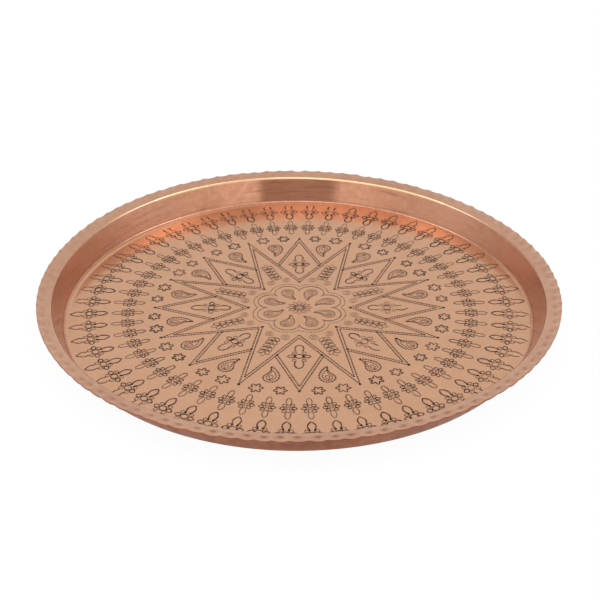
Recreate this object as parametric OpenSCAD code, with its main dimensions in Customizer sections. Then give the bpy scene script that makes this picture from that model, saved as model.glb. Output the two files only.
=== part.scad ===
// Hammered copper tray: one copper sheet raised to a flat floor, a flared wall and a hammered flange.
// A traditional eight-point star pattern lies on the floor as black line work.
// Millimetres, +Z up, origin at the centre of the underside.

/* [Tray] */
// Outside diameter of the rim
rim_d = 350; // [330:1:420]
// Thickness of the copper sheet
sheet_t = 1; // [0.8:0.1:1.4]
// Height of the flange's inner edge above the floor
wall_h = 17.8; // [14:0.1:26]
// Lean of the wall from upright, in degrees
wall_flare = 22; // [12:0.5:30]
// Inside radius of the bend between floor and wall
floor_bend_r = 1.6; // [1:0.1:4]

/* [Flange] */
// Width of the flange
flange_w = 8.2; // [7:0.1:12]
// Rise of the flange from its inner edge to the rim
flange_rise = 1.5; // [0.8:0.1:2.5]
// Radius of the bend between wall and flange, on the underside
lip_bend_r = 1.6; // [0.6:0.1:2]

/* [Hammering] */
// Number of hammer blows round the rim
blow_n = 108; // [80:1:112]
// Radius of the hammer's face
blow_r = 4.5; // [3.5:0.1:4.7]
// Depth of a blow at the rim
blow_depth = 1; // [0.6:0.1:1.5]
// Length of a blow, inward from the rim
blow_len = 5.5; // [4:0.1:6.5]

/* [Line work] */
// Thickness of the black line film on the floor
film_t = 0.1; // [0.05:0.05:0.3]
// Width of a main line
line_w = 0.8; // [0.5:0.05:0.9]
// Width of a fine line
fine_w = 0.6; // [0.4:0.05:0.7]
// Clear copper left between one stroke and the next
stroke_clear = 0.2; // [0.1:0.05:0.4]

/* [Border of bud flowers] */
// Number of bud flowers in the border
border_n = 56; // [40:1:58]
// Clear floor between the wall's bend and the bud tips
border_gap = 2.1; // [1:0.1:4]
// Length of a border flower from its eye to a bud's tip
border_reach = 12.6; // [11:0.1:13]
// Radius of a bud flower's eye
eye_r = 2.3; // [1.8:0.1:2.6]
// Length of a bud flower's side leaf
side_leaf_len = 3.9; // [3:0.1:4.2]
// Width of a bud
bud_w = 4.9; // [3.5:0.1:5.4]
// Radius of the small petals between the buds and the leaves
petal_r = 1.1; // [0.8:0.05:1.2]

/* [Ring of daisies] */
// Number of daisies in the ring
daisy_n = 56; // [40:1:58]
// Clear floor between the border and the daisies
daisy_gap = 2.6; // [1.5:0.1:5]
// Length of a daisy from its eye to the tip of a loop
daisy_reach = 10.5; // [9:0.1:11]
// Radius of a daisy's eye
daisy_eye_r = 1.1; // [0.8:0.05:1.3]
// Length of a daisy's petal
daisy_petal_len = 3.5; // [2.8:0.1:3.8]
// Width of a daisy's loop
daisy_loop_w = 3.4; // [2.6:0.1:3.8]

/* [Star and kites] */
// Clear floor between the daisies and the tips of the star
star_gap = 7.6; // [7:0.1:9]
// Radius of the star's inner corners
star_root_r = 37.9; // [37:0.1:41]
// Spacing of the double lines
line_pitch = 1.9; // [1.6:0.1:2.3]
// Half angle of a kite's tip, in degrees
kite_half_angle = 21.9; // [19:0.1:24]
// Radius of the dots at the star's corners
corner_dot_r = 0.9; // [0.7:0.1:1.1]

/* [Small motifs] */
// Radius of a small star's tips
small_star_r = 4.5; // [3.6:0.1:4.8]
// Radius of a small star's inner corners
small_star_root_r = 2.4; // [2:0.1:3]
// Length of an outer boteh from tail to crown
boteh_len = 16.6; // [13:0.1:18]
// Width of an outer boteh
boteh_w = 10.4; // [8:0.1:11]
// Sideways lean of an outer boteh's tail
boteh_lean = 2.4; // [1.5:0.1:3]
// Clear floor between the star's inner corner and a kite flower
kite_flower_gap = 8.8; // [6:0.1:10]
// Length of a kite flower from its eye to a bud's tip
kite_flower_reach = 13.5; // [11:0.1:14]
// Radius of a ringlet's outer ring
ringlet_r = 2.6; // [2.2:0.1:3]
// Radius of a ringlet's inner ring
ringlet_in_r = 1.2; // [0.9:0.1:1.4]

/* [Sprigs] */
// Pairs of leaves on a sprig
leaf_pairs = 5; // [3:1:5]
// Length of a leaf
leaf_len = 5.7; // [4.5:0.1:6]
// Width of a leaf
leaf_w = 1.9; // [1.4:0.1:2]
// Spacing of the leaf pairs
leaf_pitch = 4; // [3.8:0.1:4.4]

/* [Rosette] */
// Radius of the rosette's lobes at their crowns
rosette_r = 30; // [28.5:0.1:31]
// Radius of the cusps between the lobes
rosette_cusp_r = 23.2; // [22:0.1:24]
// Distance from the lobes to the dotted outline
dot_offset = 3; // [2.4:0.1:3.4]
// Dots over each lobe
dots_per_lobe = 14; // [8:1:16]
// Radius of a dot
dot_r = 0.4; // [0.3:0.05:0.5]
// Length of a rosette boteh from tail to crown
rosette_boteh_len = 13.4; // [11:0.1:14]
// Width of a rosette boteh
rosette_boteh_w = 8.4; // [6.5:0.1:9]
// Radius of the centre flower
centre_flower_r = 8; // [7:0.1:8.6]
// Number of petals of the centre flower
centre_petals = 12; // [8:1:12]

/* [Hidden] */

copper = "#c9987a";
black_lacquer = "#3b2f2a";
lobes = 8;
sector = 360 / lobes;
half_sector = sector / 2;
bend_steps = 6;
rim_fn = 216;
over = 0.5;
$fn = 48;

// The sheet's profile, worked inward from the rim: flange, lip bend, wall and floor bend
rim_r = rim_d / 2;
flange_slope = atan(flange_rise / flange_w);
lip_top = [rim_r - flange_w, sheet_t + wall_h];
rim_top = lip_top + [flange_w, flange_rise];
sheet_drop = sheet_t / cos(flange_slope);
edge_top = rim_top + over * [1, tan(flange_slope)];
lip_crown_r = lip_bend_r + sheet_t;
lip_centre = lip_top - lip_crown_r * [-sin(flange_slope), cos(flange_slope)];
wall_top = lip_centre + lip_crown_r * [-cos(wall_flare), sin(wall_flare)];
bend_z = sheet_t + floor_bend_r;
wall_foot_z = bend_z - floor_bend_r * sin(wall_flare);
wall_foot_r = wall_top[0] - (wall_top[1] - wall_foot_z) * tan(wall_flare);
flat_r = wall_foot_r - floor_bend_r * cos(wall_flare);

// A hammer blow: the bottom of its scoop runs from the flange's face to its full depth at the rim,
// and the strip of sheet that it pushes down reaches far enough into the flange to cover the scoop
blow_start = [rim_r - blow_len, rim_top[1] - blow_len * tan(flange_slope)];
blow_slope = atan((rim_top[1] - blow_depth - blow_start[1]) / blow_len);
push_cover = 0.15;
push_h = blow_depth + push_cover;
push_start = (push_h - sheet_t) / tan(flange_slope - blow_slope);
blow_axis = blow_start + blow_r * [-sin(blow_slope), cos(blow_slope)];

// Bands of the pattern, worked inward from the wall
border_r = flat_r - border_gap - border_reach;
daisy_r = border_r - border_reach - daisy_gap - daisy_reach;
star_tip_r = daisy_r - daisy_reach - star_gap;
boteh_drop = 7.9;
boteh_r = star_tip_r - boteh_drop - boteh_len;
boteh_turn = 11.9;
small_star_turns = [6.8, 15.9];
kite_flower_r = star_root_r + kite_flower_gap + kite_flower_reach;

// The rosette and what surrounds it, worked outward from the centre
dot_crown_r = rosette_r + dot_offset;
dot_cusp_lift = 5.2;
dot_cusp_r = rosette_cusp_r + dot_cusp_lift;
ringlet_gap = 2.8;
ringlet_place_r = dot_crown_r + ringlet_gap + ringlet_r;
ringlet_turn = 8.4;
sprig_gap = 7.4;
sprig_r = dot_crown_r + sprig_gap;
leaf_turn = 45;
leaf_stem = 1.2;
rosette_boteh_gap = 4.3;
rosette_boteh_r = rosette_r - rosette_boteh_gap - rosette_boteh_len;
rosette_boteh_lean = 2.6;

// Shares of a bud flower, a daisy and a boteh that follow from their strokes
petal_reach = eye_r + line_w / 2 + stroke_clear + fine_w / 2 + petal_r;
side_leaf_start = eye_r + line_w / 2 + 3 * stroke_clear;
side_leaf_w = 2.6;
bud_base = petal_reach + stroke_clear;
daisy_petal_start = daisy_eye_r + fine_w + 3 * stroke_clear;
daisy_petal_w = 2.3;
daisy_loop_start = daisy_petal_start + daisy_petal_len / 3;
centre_eye_r = 1.5;
centre_petal_start = centre_eye_r + fine_w + 3 * stroke_clear;
centre_petal_w = 0.86 * centre_flower_r * sin(180 / centre_petals);
tail_solid = 2.2;
boteh_inset = 2.1;
boteh_eye_r = 0.8;
boteh_swell = 1.435;
boteh_taper = 1.5;
boteh_step = 20;

function polar(r, a) = r * [sin(a), cos(a)];

function arc(centre, r, from, to) = [
  for (i = [0 : bend_steps])
    let (a = from + (to - from) * i / bend_steps)
      centre + r * [cos(a), sin(a)]
];

// Corners of a star with its inner corners at 0 degrees, turned clockwise from +Y
function star_points(n, tip, root) = [for (i = [0 : 2 * n - 1]) polar(i % 2 == 0 ? root : tip, 180 * i / n)];

// Distance from a star's centre to its sides
function side_distance(n, tip, root) = root * tip * sin(180 / n) / norm(polar(tip, 180 / n) - [0, root]);

// Radius at which a lobe's centre sits, for a ring of lobes with these crowns and cusps
function lobe_place(crown, cusp) = (crown * crown - cusp * cusp) / (2 * (crown - cusp * cos(half_sector)));

// Outline of a boteh whose tail is at the origin and leans aside
function boteh_points(len, w, lean, inset, tail) = [
  for (t = [0 : boteh_step : 360 - boteh_step])
    let (y = tail + (len - inset - tail) * (1 - cos(t)) / 2)
      [(w / 2 - inset) * boteh_swell * sin(t) * pow(sin(t / 2), boteh_taper) + lean * pow(1 - y / len, 2), y]
];

module place(r, a) {
  rotate(-a) translate([0, r]) children();
}

module both_sides() {
  children();
  mirror([1, 0]) children();
}

module all_round(n, from = 0) {
  for (i = [0 : n - 1]) rotate(-from - 360 * i / n) children();
}

module ring_line(r, w) {
  difference() {
    circle(r + w / 2);
    circle(r - w / 2);
  }
}

module lens(r, shift) {
  intersection() {
    translate([shift, 0]) circle(r);
    translate([-shift, 0]) circle(r);
  }
}

// A pointed oval drawn in one line, from start outward along +Y
module leaf_line(start, len, w, stroke) {
  side_r = (len * len + w * w) / (4 * w);
  translate([0, start + len / 2]) difference() {
    lens(side_r + stroke / 2, side_r - w / 2);
    lens(side_r - stroke / 2, side_r - w / 2);
  }
}

module star_line(n, tip, root, stroke) {
  grow = stroke / 2 / side_distance(n, tip, root);
  difference() {
    polygon(star_points(n, tip * (1 + grow), root * (1 + grow)));
    polygon(star_points(n, tip * (1 - grow), root * (1 - grow)));
  }
}

module boteh_line(len, w, lean, inset, tail, stroke) {
  difference() {
    polygon(boteh_points(len, w, lean, inset, tail));
    polygon(boteh_points(len, w, lean, inset + stroke, tail + tail_solid));
  }
}

module boteh(len, w, lean) {
  boteh_line(len, w, lean, 0, 0, line_w);
  boteh_line(len, w, lean, boteh_inset, 2 * tail_solid, fine_w);
  translate([0, len - w / 2]) circle(boteh_eye_r);
}

module bud_flower(reach) {
  ring_line(eye_r, line_w);
  for (a = [0, 180]) rotate(a) leaf_line(bud_base, reach - bud_base, bud_w, line_w);
  for (a = [90, 270]) rotate(a) leaf_line(side_leaf_start, side_leaf_len, side_leaf_w, line_w);
  for (a = [45 : 90 : 315]) place(petal_reach, a) ring_line(petal_r, fine_w);
}

module daisy() {
  ring_line(daisy_eye_r, fine_w);
  for (a = [0, 180]) rotate(a)
    leaf_line(daisy_loop_start, daisy_reach - daisy_loop_start, daisy_loop_w, fine_w);
  for (a = [45, 90, 135, 225, 270, 315]) rotate(a)
    leaf_line(daisy_petal_start, daisy_petal_len, daisy_petal_w, fine_w);
}

module chevron(tip, stroke) {
  run = tip * tan(half_sector) / (tan(half_sector) + tan(kite_half_angle));
  mitre = stroke / 2 / sin(kite_half_angle);
  foot_x = run * tan(kite_half_angle);
  polygon([
    [0, tip + mitre], [foot_x, tip + mitre - run], [foot_x, tip - mitre - run],
    [0, tip - mitre], [-foot_x, tip - mitre - run], [-foot_x, tip + mitre - run]
  ]);
}

module border_pattern() {
  all_round(border_n, 180 / border_n) translate([0, border_r]) bud_flower(border_reach);
}

module daisy_pattern() {
  all_round(daisy_n, 180 / daisy_n) translate([0, daisy_r]) daisy();
}

module small_star_pattern() {
  all_round(lobes) both_sides() for (a = small_star_turns)
    translate(polar(star_tip_r, a)) star_line(6, small_star_r, small_star_root_r, line_w);
}

module outer_boteh_pattern() {
  all_round(lobes) both_sides() place(boteh_r, boteh_turn) boteh(boteh_len, boteh_w, boteh_lean);
}

module corner_dots(tip, root, r) {
  all_round(lobes, half_sector) translate([0, tip]) circle(r);
  all_round(lobes) translate([0, root]) circle(r);
}

module star_pattern() {
  side = side_distance(lobes, star_tip_r, star_root_r);
  inner = 1 - line_pitch / side;
  dot_tip_r = star_tip_r * (1 + line_w / 2 / side);
  dot_root_r = star_root_r * (inner - line_w / 2 / side);
  difference() {
    union() {
      star_line(lobes, star_tip_r, star_root_r, line_w);
      star_line(lobes, star_tip_r * inner, star_root_r * inner, line_w);
    }
    corner_dots(dot_tip_r, dot_root_r, corner_dot_r + stroke_clear);
  }
  corner_dots(dot_tip_r, dot_root_r, corner_dot_r);
}

module kite_pattern() {
  grow = 1 + (line_w / 2 + stroke_clear) / side_distance(lobes, star_tip_r, star_root_r);
  difference() {
    all_round(lobes) {
      chevron(star_tip_r, line_w);
      chevron(star_tip_r - line_pitch / sin(kite_half_angle), line_w);
    }
    polygon(star_points(lobes, star_tip_r * grow, star_root_r * grow));
  }
}

module kite_flower_pattern() {
  all_round(lobes) translate([0, kite_flower_r]) bud_flower(kite_flower_reach);
}

module sprig_pattern() {
  all_round(lobes, half_sector) translate([0, sprig_r]) {
    for (i = [0 : leaf_pairs - 1]) both_sides()
      translate([0, i * leaf_pitch]) rotate(-leaf_turn) leaf_line(leaf_stem, leaf_len, leaf_w, fine_w);
    leaf_line(leaf_pairs * leaf_pitch, leaf_len, leaf_w, fine_w);
  }
}

module ringlet_pattern() {
  all_round(lobes, half_sector) both_sides() place(ringlet_place_r, ringlet_turn) {
    ring_line(ringlet_r, fine_w);
    ring_line(ringlet_in_r, fine_w);
  }
}

module rosette_dot_pattern() {
  lobe_r = lobe_place(dot_crown_r, dot_cusp_r);
  lobe_span = atan2(dot_cusp_r * sin(half_sector), dot_cusp_r * cos(half_sector) - lobe_r);
  all_round(lobes, half_sector) translate([0, lobe_r]) for (i = [0 : dots_per_lobe - 1])
    translate(polar(dot_crown_r - lobe_r, lobe_span * ((2 * i + 1) / dots_per_lobe - 1))) circle(dot_r);
}

module rosette_outline_pattern() {
  lobe_r = lobe_place(rosette_r, rosette_cusp_r);
  difference() {
    all_round(lobes, half_sector) translate([0, lobe_r]) circle(rosette_r - lobe_r + line_w / 2);
    all_round(lobes, half_sector) translate([0, lobe_r]) circle(rosette_r - lobe_r - line_w / 2);
    circle(rosette_cusp_r - line_w);
  }
}

module rosette_boteh_pattern() {
  all_round(lobes, half_sector) translate([0, rosette_boteh_r])
    boteh(rosette_boteh_len, rosette_boteh_w, rosette_boteh_lean);
}

module centre_flower_pattern() {
  ring_line(centre_eye_r, fine_w);
  all_round(centre_petals)
    leaf_line(centre_petal_start, centre_flower_r - centre_petal_start, centre_petal_w, fine_w);
}

module sheet() {
  rotate_extrude($fn = rim_fn) polygon(concat(
    [[0, 0], [0, sheet_t]],
    arc([flat_r, bend_z], floor_bend_r, -90, -wall_flare),
    arc(lip_centre, lip_crown_r, 180 - wall_flare, 90 + flange_slope),
    [edge_top, edge_top - [0, sheet_drop]],
    arc(lip_centre, lip_bend_r, 90 + flange_slope, 180 - wall_flare),
    arc([flat_r, bend_z], floor_bend_r + sheet_t, -wall_flare, -90)
  ));
}

// One hammer blow's own frame: the scoop's axis along +Z, its bottom on the +X side
module at_blow(i) {
  rotate(360 * i / blow_n) translate([blow_axis[0], 0, blow_axis[1]]) rotate([0, 90 - blow_slope, 0])
    children();
}

// The sheet that a blow pushes down, a strip of round section under the flange
module pushed_sheet() {
  translate([0, 0, push_start]) linear_extrude(blow_len + over - push_start) intersection() {
    circle(blow_r + sheet_t);
    translate([blow_r + sheet_t - push_h, -blow_r - sheet_t]) square([push_h + over, 2 * (blow_r + sheet_t)]);
  }
}

module tray_pan() {
  color(copper) intersection() {
    difference() {
      union() {
        sheet();
        for (i = [0 : blow_n - 1]) at_blow(i) pushed_sheet();
      }
      for (i = [0 : blow_n - 1]) at_blow(i)
        translate([0, 0, -over]) cylinder(r = blow_r, h = blow_len + 3 * over);
    }
    translate([0, 0, -over]) cylinder(r = rim_r, h = rim_top[1] + 2 * over, $fn = rim_fn);
  }
}

// Black line work laid on the floor as a thin film
module line_film() {
  color(black_lacquer) translate([0, 0, sheet_t]) linear_extrude(film_t) children();
}

module border_bud_lines() {
  line_film() border_pattern();
}

module daisy_ring_lines() {
  line_film() daisy_pattern();
}

module small_star_lines() {
  line_film() small_star_pattern();
}

module outer_boteh_lines() {
  line_film() outer_boteh_pattern();
}

module big_star_lines() {
  line_film() star_pattern();
}

module kite_lines() {
  line_film() kite_pattern();
}

module kite_flower_lines() {
  line_film() kite_flower_pattern();
}

module sprig_lines() {
  line_film() sprig_pattern();
}

module ringlet_lines() {
  line_film() ringlet_pattern();
}

module rosette_dots() {
  line_film() rosette_dot_pattern();
}

module rosette_outline() {
  line_film() rosette_outline_pattern();
}

module rosette_boteh_lines() {
  line_film() rosette_boteh_pattern();
}

module centre_flower_lines() {
  line_film() centre_flower_pattern();
}

tray_pan();
border_bud_lines();
daisy_ring_lines();
small_star_lines();
outer_boteh_lines();
big_star_lines();
kite_lines();
kite_flower_lines();
sprig_lines();
ringlet_lines();
rosette_dots();
rosette_outline();
rosette_boteh_lines();
centre_flower_lines();
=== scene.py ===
# %% [markdown]
# # A hammered copper tray
#
# The tray is one sheet of copper: a flat floor, a low flared wall, and a narrow flange whose outer half was
# dented with a hammer, blow beside blow, right round the rim. Black line work covers the floor in rings:
# bud flowers, daisies, an eight-pointed star with kites, and a rosette in the middle.
#
# The CAD model holds every size and place. Blender could copy those numbers, but reading them from the
# imported model keeps one truth, so the script loads that model first.

# %% Load the CAD frame
import math
import random

import bpy
import numpy as np
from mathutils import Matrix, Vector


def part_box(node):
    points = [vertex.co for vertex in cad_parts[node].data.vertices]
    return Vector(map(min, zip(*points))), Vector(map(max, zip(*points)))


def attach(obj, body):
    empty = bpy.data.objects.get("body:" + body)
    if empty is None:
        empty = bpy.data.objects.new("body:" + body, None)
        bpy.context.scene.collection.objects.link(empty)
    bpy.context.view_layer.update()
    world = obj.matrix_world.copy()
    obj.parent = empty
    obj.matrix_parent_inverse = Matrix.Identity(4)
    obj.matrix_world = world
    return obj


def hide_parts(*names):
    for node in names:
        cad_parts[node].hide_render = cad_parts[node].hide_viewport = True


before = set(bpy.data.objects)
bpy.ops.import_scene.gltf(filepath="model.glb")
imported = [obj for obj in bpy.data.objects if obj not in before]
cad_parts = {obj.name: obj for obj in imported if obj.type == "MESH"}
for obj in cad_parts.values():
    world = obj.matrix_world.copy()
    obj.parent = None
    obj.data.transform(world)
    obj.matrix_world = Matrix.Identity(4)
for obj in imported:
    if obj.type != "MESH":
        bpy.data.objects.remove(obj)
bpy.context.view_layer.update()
print("CAD nodes:", ", ".join(sorted(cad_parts)))

# %% [markdown]
# ## Sizes
#
# All lengths below are millimetres, the unit a metalworker would use, and MM turns them into Blender's
# metres once, when a mesh is made. The rim, the floor's height and the film's thickness come from the
# frame's boxes.

# %% Sizes from the frame
MM = 0.001
pan_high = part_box("tray_pan")[1]
film_low, film_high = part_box("big_star_lines")
rim_r = pan_high.x / MM
rim_z = pan_high.z / MM
floor_z = film_low.z / MM
film_t = (film_high.z - film_low.z) / MM
print(f"rim radius {rim_r:.1f} mm, rim height {rim_z:.1f} mm, floor {floor_z:.2f} mm, film {film_t:.2f} mm")

# %% [markdown]
# ## The profile of the sheet
#
# A spinner presses a copper disc over a wooden former on a lathe, so the floor, wall and flange are one
# turned profile of even thickness. A Screw modifier could turn it, but the hammer then has to move single
# points of the rim, so the rings of points are worked out here and kept as plain arrays.

# %% Profile of the sheet
sheet_t = floor_z
flange_w = 8.2
flange_rise = 1.5
wall_flare = 22
floor_bend_r = 1.6
lip_bend_r = 1.6
edge_round = 0.18


def arc(centre, radius, start, stop, steps):
    """Points of an arc in the plane of radius and height, from start to stop degrees."""
    turns = np.radians(np.linspace(start, stop, steps))
    return np.c_[centre[0] + radius * np.cos(turns), centre[1] + radius * np.sin(turns)]


flange_slope = math.degrees(math.atan2(flange_rise, flange_w))
slope_sin, slope_cos = math.sin(math.radians(flange_slope)), math.cos(math.radians(flange_slope))
lip_top = np.array([rim_r - flange_w, rim_z - flange_rise])
lip_crown_r = lip_bend_r + sheet_t
lip_centre = lip_top - lip_crown_r * np.array([-slope_sin, slope_cos])
lip = arc(lip_centre, lip_crown_r, 180 - wall_flare, 90 + flange_slope, 10)
bend_z = floor_z + floor_bend_r
flare = math.radians(wall_flare)
wall_foot_z = bend_z - floor_bend_r * math.sin(flare)
wall_foot_r = lip[0][0] - (lip[0][1] - wall_foot_z) * math.tan(flare)
flat_r = wall_foot_r - floor_bend_r * math.cos(flare)
print(f"the flat floor ends at {flat_r:.1f} mm and the wall leans {wall_flare} degrees")

# %% [markdown]
# ## Rings of points along the profile
#
# Each ring knows its radius, its height, how far out on the flange it lies (its share, from 0 at the lip to
# 1 at the cut edge), how freely the thin wall can wander there, and which finish the faces leading up to it
# take.

# %% Rings of the pan
FLOOR, WALL, LIP, FLANGE, UNDERSIDE = range(5)
wall_rings = 9
flange_rings = 30
rings = []


def add_rings(points, finish, shares=None, sways=None):
    """Adds rings at these (radius, height) points, with no share and no sway where none are given."""
    shares = [0] * len(points) if shares is None else shares
    sways = [0] * len(points) if sways is None else sways
    for (radius, height), share, sway in zip(points, shares, sways):
        rings.append((radius, height, share, sway, finish))


def between(start, stop, steps):
    """Points on a straight run, without its two ends."""
    t = np.linspace(0, 1, steps + 2)[1:-1, None]
    return np.array(start) * (1 - t) + np.array(stop) * t


wall_sway = np.sin(np.pi * np.linspace(0, 1, wall_rings + 2)[1:-1])
flange_share = np.linspace(0, 1, flange_rings + 1)[1:]
flange_run = np.array([flange_w - edge_round, flange_rise * (1 - edge_round / flange_w)])
flange_top = lip_top + flange_share[:, None] * flange_run
sheet_drop = np.array([0, sheet_t / slope_cos])
bend = arc((flat_r, bend_z), floor_bend_r, -90, -wall_flare, 9)
bend_under = arc((flat_r, bend_z), floor_bend_r + sheet_t, -wall_flare, -90, 9)
lip_under = arc(lip_centre, lip_bend_r, 90 + flange_slope, 180 - wall_flare, 7)
add_rings(bend, WALL)
add_rings(between(bend[-1], lip[0], wall_rings), WALL, sways=wall_sway)
add_rings(lip[:1], WALL)
add_rings(lip[1:], LIP)
add_rings(flange_top, FLANGE, flange_share)
cut_edge = [(rim_r, rim_z - edge_round), (rim_r, rim_z - sheet_drop[1] + edge_round)]
add_rings(cut_edge, UNDERSIDE, [1, 1])
add_rings((flange_top - sheet_drop)[::-2], UNDERSIDE, flange_share[::-2])
add_rings(lip_under, UNDERSIDE)
add_rings(between(lip_under[-1], bend_under[0], wall_rings), UNDERSIDE, sways=wall_sway)
add_rings(bend_under, UNDERSIDE)
ring_r, ring_z, ring_share, ring_sway, ring_finish = (np.array(column) for column in zip(*rings))
print(f"{len(rings)} rings of points")

# %% [markdown]
# ## Hammer blows
#
# The hammer's round face bites into the flange near its middle and drives the edge down about a millimetre,
# then the tray is turned by one pitch for the next blow. A noise texture would look beaten all over, while
# here each blow is placed by itself: its own force, its own small miss, its own bite. Force and darkening
# also change round the rim: the near side is dented deepest and its creases are darkest. How dark the crease
# where the hammer's edge bit is, and the bend at the wall's foot, is kept as an attribute: in the creases
# this is tarnish and painted shade, in the bend it is painted shade.

# %% Force of the blows, their dirt and painted shade
blow_n = 108
hammer = np.random.default_rng(11)
blow_miss = hammer.uniform(-0.1, 0.1, blow_n)
blow_force = hammer.uniform(0.6, 1.15, blow_n)
blow_begin = hammer.uniform(0.3, 0.46, blow_n)
# Shares of force and of dirt with painted shade in the creases, by degrees clockwise from the far side
struck_at = (0, 45, 90, 140, 180, 220, 270, 315, 360)
force_there = (1, 0.95, 1, 1.15, 1.2, 1.05, 0.7, 0.8, 1)
dirt_and_shade_there = (0.35, 0.35, 0.5, 0.7, 1, 0.6, 0.15, 0.1, 0.35)
blow_turn = np.arange(blow_n) * 360 / blow_n
blow_force *= np.interp(blow_turn, struck_at, force_there)
blow_dirt_and_shade = np.interp(blow_turn, struck_at, dirt_and_shade_there)
print(f"force of the {blow_n} blows: {blow_force.min():.2f} to {blow_force.max():.2f}")

# %% Dents and creases along the rim
blow_depth = 0.9
blow_half = 0.5
# Powers that shape a dent and its crease across the blow
dent_power = 1.1
crease_power = 5
bite_share = 0.5
bite_depth = 0.35
crease_out = 0.12
crease_w = 0.15
# Painted shade in the bend at the wall's foot
foot_painted_shade = 0.5
steps_per_blow = 16
segments = blow_n * steps_per_blow


def hammered(share, pitches):
    """How far the blows push the sheet down, and how dark the crease of their bite is painted, as tarnish and
    shade, at each point.
    """
    drop, crease = np.zeros(share.shape), np.zeros(share.shape)
    for step in (-1, 0, 1):
        blow = np.floor(pitches + 0.5).astype(int) + step
        struck = blow % blow_n
        off = (pitches - blow - blow_miss[struck]) / blow_half
        across = np.clip(1 - off**2, 0, 1) ** dent_power
        begin = blow_begin[struck]
        along = np.clip((share - begin) / (1 - begin), 0, 1)
        bite = np.clip(along / bite_share, 0, 1)
        bite = bite**2 * (3 - 2 * bite)
        push = blow_depth * blow_force[struck] * across * (bite_depth * bite + (1 - bite_depth) * along)
        drop = np.maximum(drop, push)
        # How dark the crease is painted: tarnish, and painted shade that is darkest on the near side
        bitten = across**crease_power * np.exp(-(((share - begin - crease_out) / crease_w) ** 2))
        crease = np.maximum(crease, bitten * blow_dirt_and_shade[struck])
    return drop, crease


turns = np.linspace(0, 2 * np.pi, segments, endpoint=False)[None, :]
share_grid = np.repeat(ring_share[:, None], segments, 1)
pitch_grid = np.repeat(turns * blow_n / (2 * np.pi), len(rings), 0)
drop_grid, crease_grid = hammered(share_grid, pitch_grid)
# The bend at the wall's foot is darkened as painted shade
crease_grid[:len(bend)] = foot_painted_shade
print(f"deepest dent: {drop_grid.max():.2f} mm")

# %% [markdown]
# ## The pan's mesh
#
# The wall is only a millimetre thick and was trued by hand, so it wanders by less than a tenth of a
# millimetre, which is enough to bend its reflections. Beating also pulled the sheet out of true: foot and
# rim are shifted, lifted, bent and twisted by up to two millimetres. A lattice could warp a true pan, but a
# few sums on the rings do the same and leave the floor flat. One ring of wide faces and a disc close the
# floor on both sides, so the rings run over the rim and back underneath as one closed skin. On the far side
# the lip and the ring at the wall's foot are rubbed bright, and their lighter colour is also a painted
# highlight.

# %% Points of the pan
wall_wander = 0.05
# How far a dent draws the edge inwards, as a share of its depth
edge_pull = 0.1
# Shifts towards +X and +Y, lifts, bends and twists of the wall's foot and of the rim
foot_shift, rim_shift = (-0.8, 0.6), (-0.3, 0.3)
foot_lift, rim_lift = 0.5, 0.35
foot_bend, rim_bend = 0.1, 0.6
foot_twist, rim_twist = 0.35, 1.25
# Waves round the wall, with their phases
wander_waves = ((5, 0.4), (11, 2.1), (23, 4.0))
# Points of the rim for each point of the floor's disc
fan = 8
floor_steps = segments // fan
foot_ring_w = 1.2
floor_ring_r = flat_r - foot_ring_w
wander = sum(np.sin(waves * turns + phase) for waves, phase in wander_waves) / len(wander_waves)
up = np.clip(ring_z / rim_z, 0, 1)[:, None]


def from_foot_to_rim(foot, rim):
    """A value that changes evenly from the wall's foot to the rim, for every ring."""
    return foot + (rim - foot) * up


grid_r = ring_r[:, None] - edge_pull * drop_grid + wall_wander * ring_sway[:, None] * wander
grid_x = grid_r * np.sin(turns) + from_foot_to_rim(foot_shift[0], rim_shift[0])
grid_y = grid_r * np.cos(turns) + from_foot_to_rim(foot_shift[1], rim_shift[1])
warp = (from_foot_to_rim(foot_lift, rim_lift) + from_foot_to_rim(foot_bend, rim_bend) * np.cos(2 * turns)
        - from_foot_to_rim(foot_twist, rim_twist) * np.sin(2 * turns))
grid_z = ring_z[:, None] - drop_grid + warp
grid = np.stack([grid_x, grid_y, grid_z], 2).reshape(-1, 3)
floor_turns = np.linspace(0, 2 * np.pi, floor_steps, endpoint=False)
disc_x, disc_y = floor_ring_r * np.sin(floor_turns), floor_ring_r * np.cos(floor_turns)
discs = [np.c_[disc_x, disc_y, np.full(floor_steps, z)] for z in (floor_z, 0)]
points = np.concatenate([grid, *discs]) * MM
print("the pan's points reach from", points.min(0).round(4), "to", points.max(0).round(4), "m")

# %% Faces of the pan
# Cosine of the turn from the far side at which the rubbed part, with its painted highlight, ends
rubbed_highlight_until = 0.75


def is_rubbed_with_highlight(step, steps):
    """True on the far part of a ring of so many steps, where hands and cloths keep the copper bright and a
    lighter colour is painted on as a highlight.
    """
    return math.cos(2 * math.pi * step / steps) > rubbed_highlight_until


faces, finishes = [], []
for i in range(len(rings) - 1):
    here, there = i * segments, (i + 1) * segments
    finish = int(ring_finish[i + 1])
    for j in range(segments):
        k = (j + 1) % segments
        faces.append((here + j, here + k, there + k, there + j))
        finishes.append(FLANGE if finish == LIP and not is_rubbed_with_highlight(j, segments) else finish)

top_ring, bottom_ring = len(grid), len(grid) + floor_steps
last_ring = (len(rings) - 1) * segments
for j in range(floor_steps):
    k = (j + 1) % floor_steps
    rim_run = [(fan * j + step) % segments for step in range(fan + 1)]
    faces.append([top_ring + j, top_ring + k, *reversed(rim_run)])
    faces.append([bottom_ring + k, bottom_ring + j, *(last_ring + step for step in rim_run)])
    finishes += [LIP if is_rubbed_with_highlight(j, floor_steps) else FLOOR, UNDERSIDE]
faces.append(list(range(top_ring + floor_steps - 1, top_ring - 1, -1)))
faces.append(list(range(bottom_ring, bottom_ring + floor_steps)))
finishes += [FLOOR, UNDERSIDE]
# The rubbed faces' lighter colour is also a painted highlight
print(f"{finishes.count(LIP)} of {len(faces)} faces are rubbed bright")

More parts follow.
